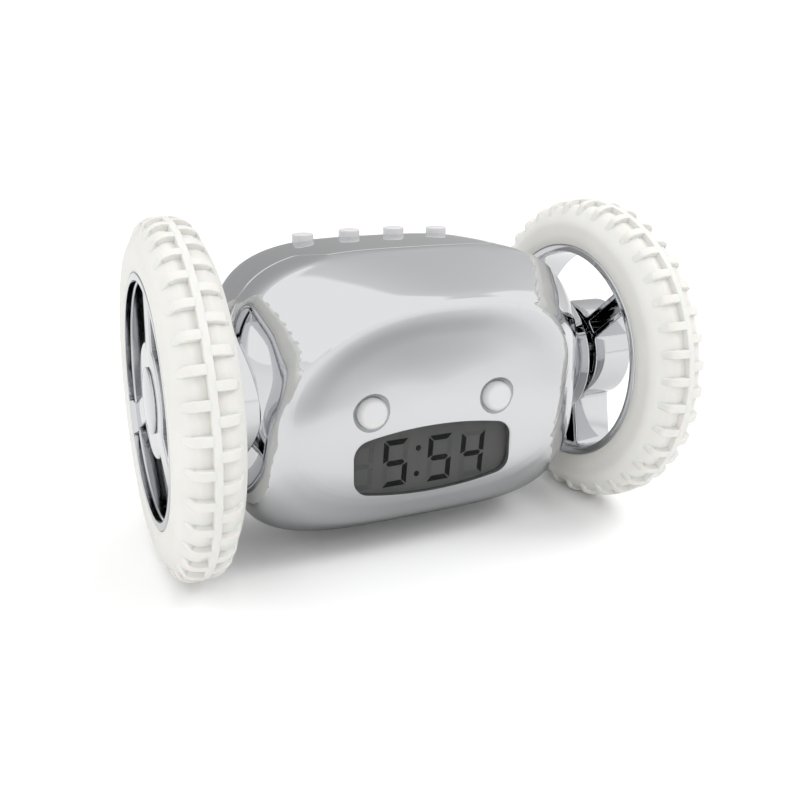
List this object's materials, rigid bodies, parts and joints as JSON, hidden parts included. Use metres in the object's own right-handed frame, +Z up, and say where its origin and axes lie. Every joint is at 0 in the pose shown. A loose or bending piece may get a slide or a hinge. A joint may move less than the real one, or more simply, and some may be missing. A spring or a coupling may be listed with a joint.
{
  "type": "runaway alarm clock",
  "caption": "Small alarm clock on two big treaded wheels: a rounded chrome body with a display below an overhanging brow, buttons on face and top, and a geared motor for each wheel.",
  "frame": {"origin": "on the floor, below the middle of the wheels' common axle line; centre of the bounding box in X and Y", "axes": "+X along the axle line towards the wheel on the right in a front view, -Y out of the face with the display, +Z up; metres"},
  "size_m": [0.1444, 0.0924, 0.0924],
  "materials": {
    "chrome_plated_shell": "ABS with a bright chrome plating",
    "chrome_plated_wheel": "ABS with a bright chrome plating",
    "white_rubber": "soft matt off-white rubber",
    "white_button": "glossy pale plastic",
    "smoked_pane": "clear smoked acrylic",
    "lcd": "grey liquid crystal glass",
    "elastomer": "conductive strip",
    "frame_plastic": "moulded, satin",
    "circuit_board": "green solder mask",
    "switch_black": "moulded, matt",
    "speaker_parts": "dark cone in a dark frame",
    "box_plastic": "moulded, matt",
    "cell_sleeve": "plain printed sleeve with steel ends",
    "spring_contact": "nickel plated",
    "screw_steel": "zinc plated",
    "motor_can": "bright metal can",
    "gear_plastic": "acetal, satin",
    "gearbox_plastic": "moulded, satin",
    "axle_steel": "ground",
    "bush_bronze": "sintered bronze"
  },
  "bodies": {
    "case": {"front_shell": "chrome_plated_shell", "rear_shell": "chrome_plated_shell", "side_cap_left": "chrome_plated_shell", "side_cap_right": "chrome_plated_shell", "window_pane": "smoked_pane", "lcd_glass": "lcd", "lcd_frame": "frame_plastic", "lcd_contact_strips": "elastomer", "main_board": "circuit_board", "face_switches": "switch_black", "key_board": "circuit_board", "top_switches": "switch_black", "speaker": "speaker_parts", "battery_box": "box_plastic", "battery_cells": "cell_sleeve", "battery_contacts": "spring_contact", "case_screws": "screw_steel", "motor_left": "motor_can", "motor_right": "motor_can", "idler_pin_left": "axle_steel", "idler_pin_right": "axle_steel", "gearbox_left": "gearbox_plastic", "gearbox_right": "gearbox_plastic", "bush_left": "bush_bronze", "bush_right": "bush_bronze"},
    "wheel_left": {"tyre_left": "white_rubber", "hub_left": "chrome_plated_wheel", "hub_cap_left": "chrome_plated_wheel", "wheel_screw_left": "screw_steel", "axle_left": "axle_steel", "output_gear_left": "gear_plastic"},
    "idler_left": {"idler_gear_left": "gear_plastic"},
    "rotor_left": {"pinion_left": "gear_plastic", "motor_shaft_left": "axle_steel"},
    "face_key_left": {"face_button_left": "white_button"},
    "wheel_right": {"tyre_right": "white_rubber", "hub_right": "chrome_plated_wheel", "hub_cap_right": "chrome_plated_wheel", "wheel_screw_right": "screw_steel", "axle_right": "axle_steel", "output_gear_right": "gear_plastic"},
    "idler_right": {"idler_gear_right": "gear_plastic"},
    "rotor_right": {"pinion_right": "gear_plastic", "motor_shaft_right": "axle_steel"},
    "face_key_right": {"face_button_right": "white_button"},
    "top_key_1": {"top_button_1": "white_button"},
    "top_key_2": {"top_button_2": "white_button"},
    "top_key_3": {"top_button_3": "white_button"},
    "top_key_4": {"top_button_4": "white_button"},
    "door": {"battery_door": "chrome_plated_shell", "door_screw": "screw_steel"}
  },
  "joints": [
    {"name": "wheel_left_spin", "type": "hinge", "parent": "case", "child": "wheel_left", "pos_m": [0, 0, 0.0462], "axis": [1, 0, 0], "continuous": true},
    {"name": "idler_left_spin", "type": "hinge", "parent": "case", "child": "idler_left", "pos_m": [0, 0.00287, 0.0327], "axis": [1, 0, 0], "continuous": true},
    {"name": "rotor_left_spin", "type": "hinge", "parent": "case", "child": "rotor_left", "pos_m": [0, -0.00654, 0.02261], "axis": [1, 0, 0], "continuous": true},
    {"name": "wheel_right_spin", "type": "hinge", "parent": "case", "child": "wheel_right", "pos_m": [0, 0, 0.0462], "axis": [1, 0, 0], "continuous": true},
    {"name": "idler_right_spin", "type": "hinge", "parent": "case", "child": "idler_right", "pos_m": [0, 0.00287, 0.0327], "axis": [1, 0, 0], "continuous": true},
    {"name": "rotor_right_spin", "type": "hinge", "parent": "case", "child": "rotor_right", "pos_m": [0, -0.00654, 0.02261], "axis": [1, 0, 0], "continuous": true},
    {"name": "face_key_left_press", "type": "slide", "parent": "case", "child": "face_key_left", "axis": [0, 1, 0], "range_m": [0, 0.0012], "stiffness_N_per_m": 400},
    {"name": "face_key_right_press", "type": "slide", "parent": "case", "child": "face_key_right", "axis": [0, 1, 0], "range_m": [0, 0.0012], "stiffness_N_per_m": 400},
    {"name": "top_key_1_press", "type": "slide", "parent": "case", "child": "top_key_1", "axis": [0, 0, -1], "range_m": [0, 0.0012], "stiffness_N_per_m": 400},
    {"name": "top_key_2_press", "type": "slide", "parent": "case", "child": "top_key_2", "axis": [0, 0, -1], "range_m": [0, 0.0012], "stiffness_N_per_m": 400},
    {"name": "top_key_3_press", "type": "slide", "parent": "case", "child": "top_key_3", "axis": [0, 0, -1], "range_m": [0, 0.0012], "stiffness_N_per_m": 400},
    {"name": "top_key_4_press", "type": "slide", "parent": "case", "child": "top_key_4", "axis": [0, 0, -1], "range_m": [0, 0.0012], "stiffness_N_per_m": 400},
    {"name": "battery_door_off", "type": "slide", "parent": "case", "child": "door", "axis": [0, 1, 0], "range_m": [0, 0.03]}
  ],
  "couplings": [
    {"joint": "idler_left_spin", "follows": "wheel_left_spin", "ratio": -3.6},
    {"joint": "rotor_left_spin", "follows": "wheel_left_spin", "ratio": 12.96},
    {"joint": "idler_right_spin", "follows": "wheel_right_spin", "ratio": -3.6},
    {"joint": "rotor_right_spin", "follows": "wheel_right_spin", "ratio": 12.96}
  ]
}
